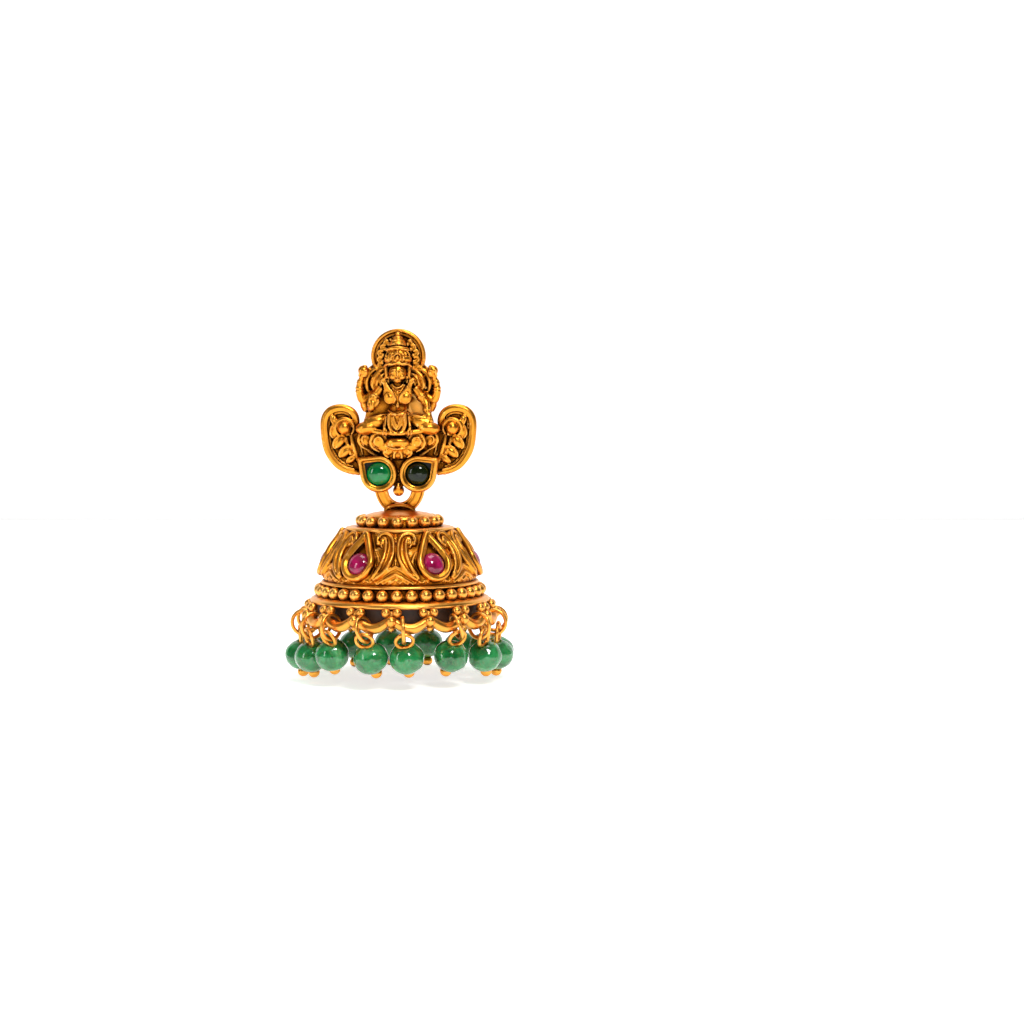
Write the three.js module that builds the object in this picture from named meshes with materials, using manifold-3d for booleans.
// A jhumka earring: a cast stud with a seated figure, two scroll wings and two set stones, and a
// hollow bell with balls, set stones and a fringe of beads, which hangs from the stud by its bail.
// Millimetres, +Z up, the front towards -Y. The origin is the root of the ear post on the flat back.
import * as THREE from 'three';
import Module from 'manifold-3d';
import { mergeVertices } from 'three/addons/utils/BufferGeometryUtils.js';

const wasm = await Module();
wasm.setup();

// Clearances
const STONE_GAP = 0.12; // a stone to its setting
const LINK_GAP = 0.22; // a link to what it hangs on, before its facets narrow it
const POST_GAP = 0.1; // the post's pad to its seat

const GRID = 0.002; // what joined pieces are rounded to

// Ear post
const POST_DIAMETER = 0.9;
const POST_LENGTH = 10.5;
const PAD_DIAMETER = 2.6;
const PAD_THICKNESS = 0.5;

// Stud: the plate and the figure on it
const PLATE_THICKNESS = 1.0;
const HEAD_HEIGHT = 2.5; // the figure's proportions are counted in heads
const SEAT_Z = -1.6; // where the figure sits
const HALO_RADIUS = 3.6;
const HALO_Z = 8.4;
const HALO_THICKNESS = 1.1;
const HALO_RIM = 0.36;
const WING_REACH = 10.2; // from the middle to the outermost edge of a wing
const WING_ROLL = 0.5; // half the thickness of the wing's rolled rim
const LOTUS_WIDTH = 10.6;

// Stud: the two set stones
const STUD_BEZEL_RADIUS = 2.35;
const STUD_BEZEL_TIP = 3.4; // from the middle of the round part to the tip
const STUD_BEZEL_X = 2.55;
const STUD_BEZEL_Z = -7.0;
const STUD_BEZEL_TURN = 53; // degrees from straight up to the tip
const STUD_BEZEL_BACK = 0.5; // the back of the cups lies this far in front of the flat back
const STUD_BEZEL_DEPTH = 2.0;
const STUD_STONE_WIDTH = 3.2;
const STUD_STONE_HEIGHT = 3.05;
const STUD_STONE_BULGE = 1.35;
const KNOB_RADIUS = 0.75; // the ball below the two cups

// The staple on the stud's back and the bail that hangs in it
const HINGE_Y = 1.2;
const HINGE_Z = -7.2;
const BAIL_BAR = 1.1; // thickness of the bail, and height of its top bar
const BAIL_CHAMFER = 0.28;
const BAIL_TOP_WIDTH = 6.9;
const BAIL_FOOT_WIDTH = 4.1;
const BAIL_LEG = 1.75;
const STAPLE_WIRE = 0.8;

// Bell, with every height counted down from the hinge
const CAP_DROP = 4.9;
const CAP_RADIUS = 5.2;
const CAP_HEIGHT = 2.2;
const DOME_TOP_RADIUS = 6.9;
const DOME_RADIUS = 10.2;
const DOME_HEIGHT = 7.0;
const BAND_HEIGHT = 2.3; // the band that carries the large balls
const LIP_RADIUS = 11.9;
const LIP_THICKNESS = 0.5;
const FLANGE = 0.3; // how far the two flanges stand proud
const WALL = 0.75;
const CAP_BALLS = 17;
const CAP_BALL_RADIUS = 0.74;
const BAND_BALLS = 36;
const BAND_BALL_RADIUS = 0.78;

// Bell: the six set stones and the scrolls between them
const BELL_STONES = 6;
const BELL_BEZEL_RADIUS = 2.3;
const BELL_BEZEL_LENGTH = 7.1;
const BELL_BEZEL_HEIGHT = 0.75;
const BELL_STONE_WIDTH = 2.95;
const BELL_STONE_HEIGHT = 3.1;
const BELL_STONE_BULGE = 1.3;
const SCROLL_RADIUS = 1.3;
const SCROLL_TAIL = 4.4; // from the middle of a scroll's round part to its tail
const SCROLL_HEIGHT = 0.3;
const SCROLL_ANGLE = 10; // degrees from the middle between two stones
const SCROLL_TURN = 16; // degrees that the tail leans out
const RIM_WIDTH = 0.62; // the rim of a bezel

// Bell: the openwork skirt
const SWAGS = 16;
const SWAG_RADIUS = 12.4; // from the bell's axis to the middle of a swag
const SWAG_THICKNESS = 1.4;
const SWAG_END_THICKNESS = 0.9;
const SWAG_DROP = 1.25; // from the ends of a swag to its lowest point
const SKIRT_HEIGHT = 1.5; // from the lip down to the ends of the swags
const TRIO_WIDTH = 2.1;
const TRIO_HEIGHT = 2.1;
const TRIO_DEPTH = 1.0;
const SKIRT_START = -1.75; // degrees from the front to the first trio of balls

// Drops: a jump ring, and a bead on a pin with a loop
const WIRE = 0.5;
const RING_DIAMETER = 3.7;
const LOOP_DIAMETER = 2.7;
const BEAD_DIAMETER = 4.5;
const BEAD_HEIGHT = 4.0;
const PIN_BALL_RADIUS = 0.78;

// Colours from the photograph
const GOLD = { color: 0xd79a35, roughness: 0.35, metalness: 1 };
const EMERALD = { color: 0x0b7a3a, roughness: 0.1, metalness: 0 };
const DARK_EMERALD = { color: 0x0d1a12, roughness: 0.1, metalness: 0 };
const RUBY = { color: 0x9c1046, roughness: 0.1, metalness: 0 };
const JADE = { color: 0x3f9468, roughness: 0.2, metalness: 0 };

const { cos, sin, PI, sqrt, hypot } = Math;
const radians = THREE.MathUtils.degToRad;
const vector = (x, y, z) => new THREE.Vector3(x, y, z);

// A closed geometry as a solid, with its faces pointing out
function solid(geometry) {
  const bare = geometry.clone();
  bare.deleteAttribute('normal');
  bare.deleteAttribute('uv');
  const merged = mergeVertices(bare, 1e-4);
  const points = merged.getAttribute('position').array;
  const corners = merged.getIndex().array;
  const triangles = [];
  let volume = 0;
  for (let i = 0; i < corners.length; i += 3) {
    const [a, b, c] = corners.subarray(i, i + 3);
    if (a !== b && b !== c && c !== a) {
      const [p, q, r] = [a, b, c].map((n) => vector(points[3 * n], points[3 * n + 1], points[3 * n + 2]));
      volume += p.dot(q.cross(r));
      triangles.push(a, b, c);
    }
  }
  if (volume < 0) triangles.reverse();
  const vertProperties = new Float32Array(points);
  const triVerts = new Uint32Array(triangles);
  return new wasm.Manifold(new wasm.Mesh({ numProp: 3, vertProperties, triVerts }));
}

function join(geometries) {
  return geometries.map(solid).reduce((all, next) => all.add(next));
}

// A solid as a geometry, whose corners lie on a fine grid so that no two are all but the same
function geometryOf(manifold) {
  const { vertProperties, triVerts } = manifold.getMesh();
  const places = Float32Array.from(vertProperties, (value) => Math.round(value / GRID) * GRID);
  const loose = new THREE.BufferGeometry();
  loose.setAttribute('position', new THREE.BufferAttribute(places, 3));
  loose.setIndex([...triVerts]);
  const geometry = mergeVertices(loose, GRID / 4);
  const corners = geometry.getIndex().array;
  const triangles = [];
  for (let i = 0; i < corners.length; i += 3) {
    const [a, b, c] = corners.subarray(i, i + 3);
    if (a !== b && b !== c && c !== a) triangles.push(a, b, c);
  }
  geometry.setIndex(triangles);
  geometry.computeVertexNormals();
  return geometry;
}

// A bar along a curve, whose half-width changes from end to end
function sweep(curve, widthAt, sides, steps) {
  const geometry = new THREE.CylinderGeometry(1, 1, 1, sides, steps);
  const frames = curve.computeFrenetFrames(steps, false);
  const position = geometry.getAttribute('position');
  for (let i = 0; i < position.count; i += 1) {
    const step = Math.round((0.5 - position.getY(i)) * steps);
    const width = widthAt(step / steps);
    const point = curve.getPointAt(step / steps)
      .addScaledVector(frames.normals[step], position.getX(i) * width)
      .addScaledVector(frames.binormals[step], position.getZ(i) * width);
    position.setXYZ(i, point.x, point.y, point.z);
  }
  return geometry;
}

// A smooth bar through a table of points, with a half-width at each
function limb(points, widths, sides, steps) {
  const widthAt = (share) => {
    const place = share * (widths.length - 1);
    const row = Math.min(Math.floor(place), widths.length - 2);
    return THREE.MathUtils.lerp(widths[row], widths[row + 1], place - row);
  };
  return sweep(new THREE.CatmullRomCurve3(points), widthAt, sides, steps);
}

// A ball or an ellipsoid with its poles up and down
function ellipsoid(centre, wide, deep, tall, sides = 8, rings = 5) {
  return new THREE.SphereGeometry(1, sides, rings)
    .rotateX(PI / 2)
    .scale(wide, deep, tall)
    .translate(centre.x, centre.y, centre.z);
}

// A body turned round the vertical axis, from points of radius and height
function turned(profile, sides) {
  return new THREE.LatheGeometry(profile.map(([r, z]) => new THREE.Vector2(r, z)), sides).rotateX(PI / 2);
}

// A teardrop with its round part about the middle and its tip up
function teardrop(radius, tip) {
  const lean = Math.acos(radius / tip);
  const shape = new THREE.Shape();
  shape.moveTo(0, tip);
  shape.lineTo(-radius * sin(lean), radius * cos(lean));
  shape.absarc(0, 0, radius, PI / 2 + lean, 2.5 * PI - lean, false);
  shape.lineTo(0, tip);
  return shape;
}

// A cup with a rim round a teardrop recess, open towards +Z, whose foot is at -foot
function bezel(radius, tip, foot, height, floor) {
  const extruded = (shape, bottom, top) => new THREE.ExtrudeGeometry(shape, {
    depth: top - bottom,
    bevelEnabled: false,
    curveSegments: 4,
  }).translate(0, 0, bottom);
  const recess = teardrop(radius - RIM_WIDTH, tip - 1.45 * RIM_WIDTH);
  return {
    outside: extruded(teardrop(radius, tip), -foot, height),
    inside: extruded(recess, floor, height + RIM_WIDTH),
  };
}

// A cabochon with its flat base at z = 0
function cabochon(width, height, bulge) {
  const girdle = 0.25 * bulge;
  const rows = [0, 0.6].map((share) => [sqrt(1 - share * share), girdle + share * (bulge - girdle)]);
  const profile = [[0, 0], [0.92, 0], ...rows, [0, bulge]];
  return turned(profile, 9).scale(width / 2, height / 2, 1);
}

function mesh(name, geometry, look) {
  const piece = new THREE.Mesh(geometry, new THREE.MeshStandardMaterial(look));
  piece.name = name;
  return piece;
}

// The place of a point at an angle round the bell's axis, counted in degrees from the front
function around(angle, radius, z) {
  const turn = radians(angle);
  return vector(radius * sin(turn), -radius * cos(turn), z);
}

// Stud: the figure. Its tables count in heads from the middle of the seat: across, up and out.
const MASSES = [
  { part: 'hips', z: 0.42, out: 0.8, wide: 0.8, tall: 0.5, deep: 0.6 },
  { part: 'waist', z: 1.2, out: 0.76, wide: 0.5, tall: 0.62, deep: 0.46 },
  { part: 'chest', z: 1.88, out: 0.84, wide: 0.78, tall: 0.6, deep: 0.52 },
  { part: 'shoulders', z: 2.3, out: 0.7, wide: 1.08, tall: 0.3, deep: 0.4 },
  { part: 'head', z: 3.1, out: 1.04, wide: 0.45, tall: 0.56, deep: 0.46 },
  { part: 'crown', z: 4.0, out: 0.9, wide: 0.78, tall: 0.5, deep: 0.58 },
  { part: 'crown jewel', z: 3.86, out: 1.44, wide: 0.17, tall: 0.26, deep: 0.12 },
  { part: 'crown top', z: 4.6, out: 0.7, wide: 0.46, tall: 0.3, deep: 0.4 },
  { part: 'crown knob', z: 4.94, out: 0.74, wide: 0.22, tall: 0.22, deep: 0.22 },
  { part: 'apron', z: 0.44, out: 1.34, wide: 0.44, tall: 0.5, deep: 0.28 },
];
const LEFT_AND_RIGHT = [
  { part: 'bud', x: 1.82, z: 3.24, out: 0.72, wide: 0.3, tall: 0.3, deep: 0.3 },
];
const REAR_ARM = {
  points: [[0.8, 2.3, 0.5], [1.6, 1.7, 0.5], [2.06, 2.3, 0.56], [1.84, 3.0, 0.7]],
  widths: [0.28, 0.34, 0.26, 0.16],
};
const RAISED_ARM = {
  points: [[-0.9, 2.3, 0.8], [-1.5, 1.6, 0.74], [-1.66, 1.1, 0.9], [-1.34, 1.4, 1.3], [-1.32, 1.86, 1.36]],
  widths: [0.3, 0.28, 0.26, 0.22, 0.12],
};
const LOWERED_ARM = {
  points: [[0.9, 2.3, 0.8], [1.5, 1.6, 0.74], [1.7, 1.1, 0.9], [1.6, 0.84, 1.2], [1.58, 0.4, 1.3]],
  widths: [0.3, 0.28, 0.26, 0.24, 0.14],
};
const THIGH = {
  points: [[0.4, 0.44, 0.8], [1.2, 0.4, 1.0], [1.8, 0.22, 1.26]],
  widths: [0.36, 0.38, 0.3],
};
const SHIN = {
  points: [[1.82, 0.14, 1.24], [1.0, 0.02, 1.52], [-0.1, 0.06, 1.5]],
  widths: [0.32, 0.26, 0.18],
};

function inHeads([x, z, out]) {
  return vector(x * HEAD_HEIGHT, -out * HEAD_HEIGHT, SEAT_Z + z * HEAD_HEIGHT);
}

function figureLimb({ points, widths }, side = 1) {
  const places = points.map(([x, z, out]) => inHeads([side * x, z, out]));
  return limb(places, widths.map((width) => width * HEAD_HEIGHT), 5, places.length);
}

function figure() {
  const masses = [...MASSES];
  for (const side of [-1, 1]) {
    for (const row of LEFT_AND_RIGHT) masses.push({ ...row, x: side * row.x });
  }
  const parts = masses.map(({ x = 0, z, out, wide, tall, deep }) => {
    const [sides, rings] = [wide > 0.42 ? 8 : 6, wide > 0.2 ? 4 : 3];
    const centre = inHeads([x, z, out]);
    return ellipsoid(centre, wide * HEAD_HEIGHT, deep * HEAD_HEIGHT, tall * HEAD_HEIGHT, sides, rings);
  });
  parts.push(figureLimb(REAR_ARM), figureLimb(REAR_ARM, -1));
  parts.push(figureLimb(THIGH), figureLimb(THIGH, -1), figureLimb(SHIN), figureLimb(SHIN, -1));
  parts.push(figureLimb(RAISED_ARM), figureLimb(LOWERED_ARM));
  return parts;
}

function halo() {
  const disc = [[0, 0], [HALO_RADIUS - HALO_RIM, 0], [HALO_RADIUS, 0.3 * HALO_THICKNESS]];
  const rim = [[HALO_RADIUS, HALO_THICKNESS], [HALO_RADIUS - HALO_RIM, HALO_THICKNESS + HALO_RIM]];
  const field = [[HALO_RADIUS - 2 * HALO_RIM, HALO_THICKNESS], [0, HALO_THICKNESS]];
  return turned([...disc, ...rim, ...field], 18).rotateX(PI / 2).translate(0, 0, HALO_Z);
}

// Stud: the lotus seat, with its petals in shares of its half-width from the seat down
const PETALS = [
  { x: 0, z: -0.2, out: 0.72, wide: 0.27, tall: 0.24, deep: 0.2 },
  { x: 0.45, z: -0.21, out: 0.63, wide: 0.24, tall: 0.28, deep: 0.2 },
  { x: 0.8, z: -0.14, out: 0.44, wide: 0.22, tall: 0.27, deep: 0.2 },
];
const LOTUS_FOOT = { z: -0.42, out: 0.36, wide: 0.56, tall: 0.3, deep: 0.36 };
const LOTUS_TOP = { z: -0.06, out: 0.4, wide: 0.92, tall: 0.14, deep: 0.4 };

function lotus() {
  const unit = LOTUS_WIDTH / 2;
  const rows = [LOTUS_TOP, LOTUS_FOOT, ...PETALS, ...PETALS.slice(1).map((row) => ({ ...row, x: -row.x }))];
  return rows.map(({ x = 0, z, out, wide, tall, deep }) =>
    ellipsoid(vector(x * unit, -out * unit, SEAT_Z + z * unit), wide * unit, deep * unit, tall * unit, 6, 3));
}

// Stud: the wings, in shares of their reach from the origin
const ROLL = [
  [0.5, -0.68], [0.7, -0.627], [0.824, -0.53], [0.92, -0.363], [0.953, -0.137], [0.943, 0.03], [0.863, 0.13],
  [0.716, 0.158], [0.593, 0.108], [0.544, 0], [0.569, -0.118], [0.66, -0.18],
];
const ROLL_OUTLINE = 9; // the points of the roll that also bound the plate
const ROLL_WIDTHS = [0.5, 0.8, 1, 1, 1, 1, 1, 0.9, 0.8, 0.7, 0.6, 0.5];
const LEAVES = [
  { x: 0.82, z: -0.27, out: 0.13, wide: 0.08, tall: 0.11, deep: 0.07 },
  { x: 0.74, z: -0.4, out: 0.13, wide: 0.09, tall: 0.12, deep: 0.07 },
  { x: 0.69, z: -0.1, out: 0.15, wide: 0.1, tall: 0.1, deep: 0.12 },
];

function wing(side) {
  const at = ([x, z]) => vector(side * x * WING_REACH, -1.05 * PLATE_THICKNESS, z * WING_REACH);
  const roll = limb(ROLL.map(at), ROLL_WIDTHS.map((share) => share * WING_ROLL), 5, 14);
  const outline = new THREE.SplineCurve(ROLL.slice(0, ROLL_OUTLINE).map(([x, z]) =>
    new THREE.Vector2(side * x * WING_REACH, z * WING_REACH)));
  const shape = new THREE.Shape(outline.getSpacedPoints(10));
  shape.lineTo(side * 0.3 * WING_REACH, 0);
  shape.lineTo(side * 0.3 * WING_REACH, -0.6 * WING_REACH);
  const leaves = LEAVES.map(({ x, z, out, wide, tall, deep }) => ellipsoid(
    vector(side * x * WING_REACH, -out * WING_REACH, z * WING_REACH),
    wide * WING_REACH,
    deep * WING_REACH,
    tall * WING_REACH,
    6,
    3,
  ));
  return [roll, plate(shape), ...leaves];
}

// A shape drawn across and up, as a plate on the flat back
function plate(shape, thickness = PLATE_THICKNESS) {
  return new THREE.ExtrudeGeometry(shape, { depth: thickness, bevelEnabled: false }).rotateX(PI / 2);
}

function trunk() {
  const wide = 0.5 * WING_REACH;
  const shape = new THREE.Shape([
    new THREE.Vector2(-0.42 * wide, HALO_Z),
    new THREE.Vector2(-wide, SEAT_Z),
    new THREE.Vector2(-wide, STUD_BEZEL_Z + 1),
    new THREE.Vector2(wide, STUD_BEZEL_Z + 1),
    new THREE.Vector2(wide, SEAT_Z),
    new THREE.Vector2(0.42 * wide, HALO_Z),
  ]);
  return plate(shape);
}

// Stud: the cups, their stones and the web between them that carries the staple
function placedOnStud(geometry, side) {
  return geometry
    .rotateZ(-side * radians(STUD_BEZEL_TURN))
    .rotateX(PI / 2)
    .translate(side * STUD_BEZEL_X, -STUD_BEZEL_BACK, STUD_BEZEL_Z);
}

const STUD_CUP_FLOOR = 0.45 * STUD_BEZEL_DEPTH;

function studCup(side) {
  const cup = bezel(STUD_BEZEL_RADIUS, STUD_BEZEL_TIP, 0, STUD_BEZEL_DEPTH, STUD_CUP_FLOOR);
  return { outside: placedOnStud(cup.outside, side), inside: placedOnStud(cup.inside, side) };
}

function studStone(side) {
  return cabochon(STUD_STONE_WIDTH, STUD_STONE_HEIGHT, STUD_STONE_BULGE)
    .rotateX(PI / 2)
    .translate(side * STUD_BEZEL_X, -STUD_BEZEL_BACK - STUD_CUP_FLOOR - STONE_GAP, STUD_BEZEL_Z);
}

const BAR_CORNER = hypot(BAIL_BAR / 2, BAIL_BAR / 2);
const STAPLE_RADIUS = BAR_CORNER + LINK_GAP + STAPLE_WIRE / 2;

function staple() {
  const root = -STUD_BEZEL_BACK - 0.8;
  const points = [vector(0, root, HINGE_Z + STAPLE_RADIUS)];
  for (let turn = 90; turn >= -90; turn -= 36) {
    const [reach, rise] = [STAPLE_RADIUS * cos(radians(turn)), STAPLE_RADIUS * sin(radians(turn))];
    points.push(vector(0, HINGE_Y + reach, HINGE_Z + rise));
  }
  points.push(vector(0, root, HINGE_Z - STAPLE_RADIUS));
  return limb(points, points.map(() => STAPLE_WIRE / 2), 6, 11);
}

function web() {
  const height = 2 * (STAPLE_RADIUS + STAPLE_WIRE);
  const depth = 0.7 * STUD_BEZEL_DEPTH;
  return new THREE.BoxGeometry(1.6 * STAPLE_WIRE + 2 * (STUD_BEZEL_X - STUD_BEZEL_RADIUS), depth, height)
    .translate(0, -STUD_BEZEL_BACK - depth / 2, HINGE_Z);
}

function postSeat() {
  const radius = PAD_DIAMETER / 2 + POST_GAP;
  return new THREE.CylinderGeometry(radius, radius, 2 * PAD_THICKNESS, 16);
}

function studCasting() {
  const cups = [-1, 1].map(studCup);
  const knobCentre = vector(0, -STUD_BEZEL_BACK - 0.4 * STUD_BEZEL_DEPTH, STUD_BEZEL_Z - STUD_BEZEL_RADIUS + 0.1);
  const relief = join([
    halo(),
    trunk(),
    ...figure(),
    ...lotus(),
    ...wing(-1),
    ...wing(1),
    ...cups.map((cup) => cup.outside),
    web(),
    ellipsoid(knobCentre, KNOB_RADIUS, KNOB_RADIUS, KNOB_RADIUS),
  ]);
  const behind = new THREE.BoxGeometry(4 * WING_REACH, WING_REACH, 4 * WING_REACH).translate(0, WING_REACH / 2, 0);
  return relief
    .subtract(solid(behind))
    .subtract(join([postSeat(), ...cups.map((cup) => cup.inside)]))
    .add(solid(staple()));
}

function earPost() {
  const pad = PAD_DIAMETER / 2;
  const tip = POST_DIAMETER / 2;
  const profile = [
    [0, POST_GAP - PAD_THICKNESS], [pad, POST_GAP - PAD_THICKNESS], [pad, 0.1], [tip, 0.3],
    [tip, POST_LENGTH - tip], [0.5 * tip, POST_LENGTH], [0, POST_LENGTH],
  ];
  return turned(profile, 10).rotateX(-PI / 2);
}

// Bell: its levels
const CAP_TOP = HINGE_Z - CAP_DROP;
const DOME_TOP = CAP_TOP - CAP_HEIGHT;
const BAND_TOP = DOME_TOP - DOME_HEIGHT;
const LIP_TOP = BAND_TOP - BAND_HEIGHT;
const SWAG_ENDS = LIP_TOP - SKIRT_HEIGHT;
const BAND_RADIUS = DOME_RADIUS - 0.1;

// The dome's outside: shares of the way from its top radius to its full radius, and of its height
const DOME = [[0, 0.05], [0.6, 0.4], [0.9, 0.67], [1, 0.87], [0.92, 0.98]];

function domePoint([out, down], inset = 0) {
  const radius = DOME_TOP_RADIUS + out * (DOME_RADIUS - DOME_TOP_RADIUS);
  return [radius - inset, DOME_TOP - down * DOME_HEIGHT];
}

function bellOutside() {
  const neck = CAP_RADIUS - FLANGE;
  return turned([
    [0, CAP_TOP + 0.3], [0.4 * CAP_RADIUS, CAP_TOP + 0.1], [CAP_RADIUS, CAP_TOP - 0.5], [neck, CAP_TOP - 0.85],
    [neck, DOME_TOP + 0.1],
    [DOME_TOP_RADIUS + FLANGE, DOME_TOP],
    ...DOME.map((row) => domePoint(row)),
    [DOME_RADIUS + FLANGE / 2, BAND_TOP], [BAND_RADIUS, BAND_TOP - 0.4], [BAND_RADIUS, LIP_TOP],
    [LIP_RADIUS, LIP_TOP - 0.1], [LIP_RADIUS, LIP_TOP - LIP_THICKNESS], [0, LIP_TOP - LIP_THICKNESS],
  ], 20);
}

function bellHollow() {
  return turned([
    [0, CAP_TOP - WALL],
    [CAP_RADIUS - FLANGE - WALL, CAP_TOP - 1.2 * WALL],
    [CAP_RADIUS - FLANGE - WALL, DOME_TOP - 0.2],
    ...[DOME[0], DOME[1], DOME[3]].map((row) => domePoint(row, WALL)),
    [BAND_RADIUS - WALL, LIP_TOP],
    [BAND_RADIUS - WALL + 0.3, LIP_TOP - 2 * LIP_THICKNESS],
    [0, LIP_TOP - 2 * LIP_THICKNESS],
  ], 20);
}

function ballRing(count, radius, ring, z) {
  const balls = [];
  for (let i = 0; i < count; i += 1) {
    const ball = new THREE.SphereGeometry(radius, 5, 3).translate(0, -ring, z);
    balls.push(ball.rotateZ((i * 2 * PI) / count));
  }
  return balls;
}

// The bail: a strap with its top bar about the hinge and a hole that the staple passes through
function bail() {
  const top = HINGE_Z + BAIL_BAR / 2;
  const wide = BAIL_TOP_WIDTH / 2;
  const narrow = BAIL_FOOT_WIDTH / 2;
  const foot = CAP_TOP;
  const shape = new THREE.Shape();
  shape.moveTo(-wide + 0.5, top);
  shape.lineTo(wide - 0.5, top);
  shape.quadraticCurveTo(wide, top, wide, top - 0.8);
  shape.quadraticCurveTo(wide - 0.1, (top + foot) / 2, narrow, foot);
  shape.lineTo(-narrow, foot);
  shape.quadraticCurveTo(-wide + 0.1, (top + foot) / 2, -wide, top - 0.8);
  shape.quadraticCurveTo(-wide, top, -wide + 0.5, top);
  const hole = new THREE.Shape();
  const inner = wide - BAIL_LEG;
  const under = HINGE_Z - BAIL_BAR / 2;
  const floor = foot + 0.85;
  hole.moveTo(-inner, under);
  hole.bezierCurveTo(-inner, (under + floor) / 2, -0.7 * inner, floor, 0, floor);
  hole.bezierCurveTo(0.7 * inner, floor, inner, (under + floor) / 2, inner, under);
  const strap = new THREE.ExtrudeGeometry(shape, {
    depth: BAIL_BAR - 2 * BAIL_CHAMFER,
    bevelThickness: BAIL_CHAMFER,
    bevelSize: BAIL_CHAMFER,
    bevelOffset: -BAIL_CHAMFER,
    bevelSegments: 1,
    curveSegments: 3,
  }).rotateX(PI / 2).translate(0, BAIL_BAR / 2 - BAIL_CHAMFER, 0);
  return solid(strap).subtract(solid(plate(hole, 3 * BAIL_BAR).translate(0, 1.5 * BAIL_BAR, 0)));
}

// Bezels of the bell: each lies on the dome with its tip at the upper flange
const BEZEL_TIP = BELL_BEZEL_LENGTH - BELL_BEZEL_RADIUS;

function placedOnBell(geometry, angle) {
  const tip = vector(0, -(DOME_TOP_RADIUS + 0.1), DOME_TOP - 0.1);
  const bottom = vector(0, -(DOME_RADIUS + 0.1), DOME_TOP - 0.1 - sqrt(
    BELL_BEZEL_LENGTH ** 2 - (DOME_RADIUS - DOME_TOP_RADIUS) ** 2,
  ));
  const up = tip.clone().sub(bottom).normalize();
  const across = vector(1, 0, 0);
  const out = across.clone().cross(up);
  const middle = bottom.addScaledVector(up, BELL_BEZEL_RADIUS);
  const frame = new THREE.Matrix4().makeBasis(across, up, out).setPosition(middle);
  return geometry.applyMatrix4(frame).rotateZ(radians(angle));
}

const BELL_CUP_FLOOR = -0.05;

function bellCup(angle) {
  const cup = bezel(BELL_BEZEL_RADIUS, BEZEL_TIP, WALL, BELL_BEZEL_HEIGHT, BELL_CUP_FLOOR);
  return { outside: placedOnBell(cup.outside, angle), inside: placedOnBell(cup.inside, angle) };
}

function bellStone(angle) {
  const stone = cabochon(BELL_STONE_WIDTH, BELL_STONE_HEIGHT, BELL_STONE_BULGE);
  return placedOnBell(stone.translate(0, 0, BELL_CUP_FLOOR + STONE_GAP), angle);
}

function stoneAngle(i) {
  return ((i + 0.5) * 360) / BELL_STONES - 180;
}

// The scrolls: mirrored pairs between the stones, each the outer form of a hooked scroll, round at
// the top with its tail down and out
function scrolls() {
  const leaves = [];
  for (let i = 0; i < 2 * BELL_STONES; i += 1) {
    const side = i % 2 ? 1 : -1;
    const leaf = new THREE.ExtrudeGeometry(teardrop(SCROLL_RADIUS, SCROLL_TAIL), {
      depth: WALL + SCROLL_HEIGHT,
      bevelEnabled: false,
      curveSegments: 3,
    })
      .translate(0, 0, -WALL)
      .rotateZ(PI + side * radians(SCROLL_TURN))
      .translate(0, SCROLL_TAIL - BELL_BEZEL_RADIUS, 0);
    leaves.push(placedOnBell(leaf, (Math.floor(i / 2) * 360) / BELL_STONES + side * SCROLL_ANGLE));
  }
  return leaves;
}

// Skirt: one festooned wire with a trio of balls at each joint of two swags. A place on it is the
// number of swags from the first joint.
function swagAt(place) {
  const middle = sin(PI * (place % 1));
  return {
    angle: SKIRT_START + (place * 360) / SWAGS,
    z: SWAG_ENDS - middle * SWAG_DROP,
    half: THREE.MathUtils.lerp(SWAG_END_THICKNESS, SWAG_THICKNESS, middle) / 2,
  };
}

function festoon() {
  const [sides, perSwag] = [4, 4];
  const steps = SWAGS * perSwag;
  const geometry = new THREE.TorusGeometry(SWAG_RADIUS, SWAG_THICKNESS / 2, sides, steps);
  const position = geometry.getAttribute('position');
  for (let i = 0; i < position.count; i += 1) {
    const turn = (Math.floor(i / (steps + 1)) * 2 * PI) / sides;
    const { angle, z, half } = swagAt((i % (steps + 1)) / perSwag);
    const point = around(angle, SWAG_RADIUS + half * cos(turn), z + half * sin(turn));
    position.setXYZ(i, point.x, point.y, point.z);
  }
  return geometry;
}

// The outer form of a trio: wide under the lip's edge, and narrow at the joint of two swags
function trios() {
  const knots = [];
  for (let i = 0; i < SWAGS; i += 1) {
    const knot = new THREE.BoxGeometry(TRIO_WIDTH, TRIO_DEPTH, TRIO_HEIGHT);
    const position = knot.getAttribute('position');
    for (let n = 0; n < position.count; n += 1) {
      const share = 0.5 - position.getZ(n) / TRIO_HEIGHT;
      const narrowing = 1 - share / 2;
      const ring = THREE.MathUtils.lerp(LIP_RADIUS - 0.1, SWAG_RADIUS, share);
      position.setX(n, position.getX(n) * narrowing);
      position.setY(n, position.getY(n) * narrowing - ring);
    }
    knot.translate(0, 0, LIP_TOP - LIP_THICKNESS / 2 - TRIO_HEIGHT / 2);
    knots.push(knot.rotateZ(radians(SKIRT_START + (i * 360) / SWAGS)));
  }
  return knots;
}

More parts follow.
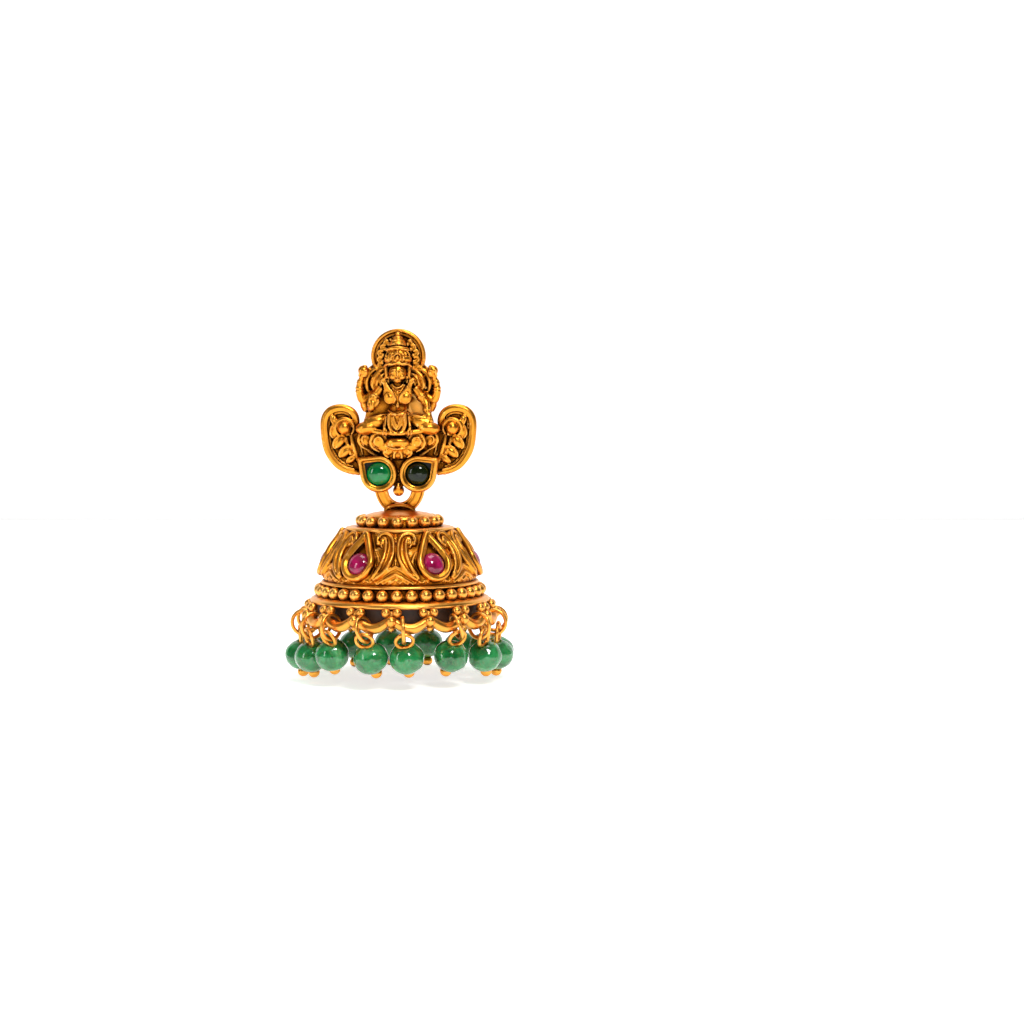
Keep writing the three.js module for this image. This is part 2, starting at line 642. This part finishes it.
function bell() {
  const cups = [];
  for (let i = 0; i < BELL_STONES; i += 1) cups.push(bellCup(stoneAngle(i)));
  const capBalls = ballRing(CAP_BALLS, CAP_BALL_RADIUS, CAP_RADIUS - 0.1, CAP_TOP - 1.3);
  const bandBalls = ballRing(BAND_BALLS, BAND_BALL_RADIUS, BAND_RADIUS + 0.55, BAND_TOP - 1.1);
  return join([bellOutside(), ...capBalls, ...bandBalls, ...scrolls(), ...cups.map((cup) => cup.outside)])
    .subtract(join([bellHollow(), ...cups.map((cup) => cup.inside)]))
    .add(join([festoon(), ...trios()]))
    .add(bail());
}

// Drops, from the front round to the viewer's right: where the ring lies from the middle of its
// swag, in swags, and degrees. A ring swings out from hanging straight and turns about that line,
// and a pin leans with its top towards the front and, seen from the front, to the right.
const LEANS = [
  { slide: -0.19, swing: 50, turn: -4, forward: 36, right: -5 },
  { slide: 0.25, swing: 50, turn: -24, forward: 27, right: 19 },
  { slide: 0.1, swing: 48, turn: 0, forward: 29, right: -3 },
  { slide: 0.08, swing: 46, turn: 8, forward: 20, right: 3 },
  { slide: 0, swing: 45, turn: -8, forward: 16, right: 3 },
  { slide: 0.03, swing: 42, turn: 10, forward: 8, right: 2 },
  { slide: 0, swing: 40, turn: -6, forward: 2, right: 0 },
  { slide: -0.02, swing: 42, turn: 8, forward: 0, right: 1 },
  { slide: 0.02, swing: 40, turn: -8, forward: 0, right: -1 },
  { slide: 0, swing: 42, turn: 6, forward: 1, right: 0 },
  { slide: 0.02, swing: 44, turn: -10, forward: 3, right: -1 },
  { slide: 0, swing: 44, turn: 8, forward: 11, right: -2 },
  { slide: 0, swing: 46, turn: -6, forward: 18, right: -2 },
  { slide: -0.06, swing: 48, turn: 4, forward: 26, right: -4 },
  { slide: -0.21, swing: 50, turn: -4, forward: 35, right: -6 },
  { slide: -0.2, swing: 50, turn: -19, forward: 31, right: -16 },
];

const RING_RADIUS = (RING_DIAMETER - WIRE) / 2;
const LOOP_RADIUS = (LOOP_DIAMETER - WIRE) / 2;
const RING_TO_HOOK = RING_RADIUS - WIRE - LINK_GAP;
const LOOP_TO_BEAD = LOOP_RADIUS + BEAD_HEIGHT / 2 - 0.2;

// A bead about the origin, with its pin upright and the pin's loop across it
function beadOnPin() {
  const half = BEAD_HEIGHT / 2;
  const rows = [52, 4, -46].map((turn) =>
    [(BEAD_DIAMETER / 2) * cos(radians(turn)), half * sin(radians(turn))]);
  const bead = turned([
    [0, half - 0.24],
    ...rows,
    [0.5 * PIN_BALL_RADIUS, -half],
    [PIN_BALL_RADIUS, -half - 0.6 * PIN_BALL_RADIUS],
    [0, -half - 1.4 * PIN_BALL_RADIUS],
  ], 10);
  const pinLoop = new THREE.TorusGeometry(LOOP_RADIUS, WIRE / 2, 5, 10).rotateX(PI / 2)
    .translate(0, 0, LOOP_TO_BEAD);
  return join([bead, pinLoop]);
}

function drops() {
  const pieces = [];
  const hanging = geometryOf(beadOnPin());
  for (let i = 0; i < SWAGS; i += 1) {
    const { slide, swing, turn, forward, right } = LEANS[i % LEANS.length];
    const { angle, z, half } = swagAt(i + 0.5 + slide);
    const hang = vector(0, -sin(radians(swing)), -cos(radians(swing)));
    const toRing = RING_RADIUS - WIRE / 2 - half - LINK_GAP;
    const ringCentre = vector(0, -SWAG_RADIUS, z).addScaledVector(hang, toRing);
    const hook = ringCentre.clone()
      .addScaledVector(hang, RING_TO_HOOK)
      .applyAxisAngle(vector(0, 0, 1), radians(angle));
    const ring = new THREE.TorusGeometry(RING_RADIUS, WIRE / 2, 5, 10)
      .rotateY(PI / 2)
      .rotateZ(radians(turn))
      .rotateX(-radians(swing))
      .translate(ringCentre.x, ringCentre.y, ringCentre.z)
      .rotateZ(radians(angle));
    const bead = hanging.clone()
      .translate(0, 0, -LOOP_TO_BEAD - LOOP_RADIUS)
      .rotateZ(radians(angle))
      .rotateX(radians(forward))
      .rotateY(radians(right))
      .translate(hook.x, hook.y, hook.z);
    const number = String(i + 1).padStart(2, '0');
    pieces.push(mesh(`jump_ring_${number}`, ring, GOLD), mesh(`bead_drop_${number}`, bead, JADE));
  }
  return pieces;
}

const stud = new THREE.Group();
stud.add(
  mesh('stud_casting', geometryOf(studCasting()), GOLD),
  mesh('ear_post', earPost(), GOLD),
  mesh('green_stone_left', studStone(-1), EMERALD),
  mesh('green_stone_right', studStone(1), DARK_EMERALD),
);

const drop = new THREE.Group();
drop.position.y = HINGE_Y;
drop.add(mesh('bell', geometryOf(bell()), GOLD), ...drops());
for (let i = 0; i < BELL_STONES; i += 1) drop.add(mesh(`ruby_stone_${i + 1}`, bellStone(stoneAngle(i)), RUBY));

const earring = new THREE.Group();
earring.add(stud, drop);

export default earring;
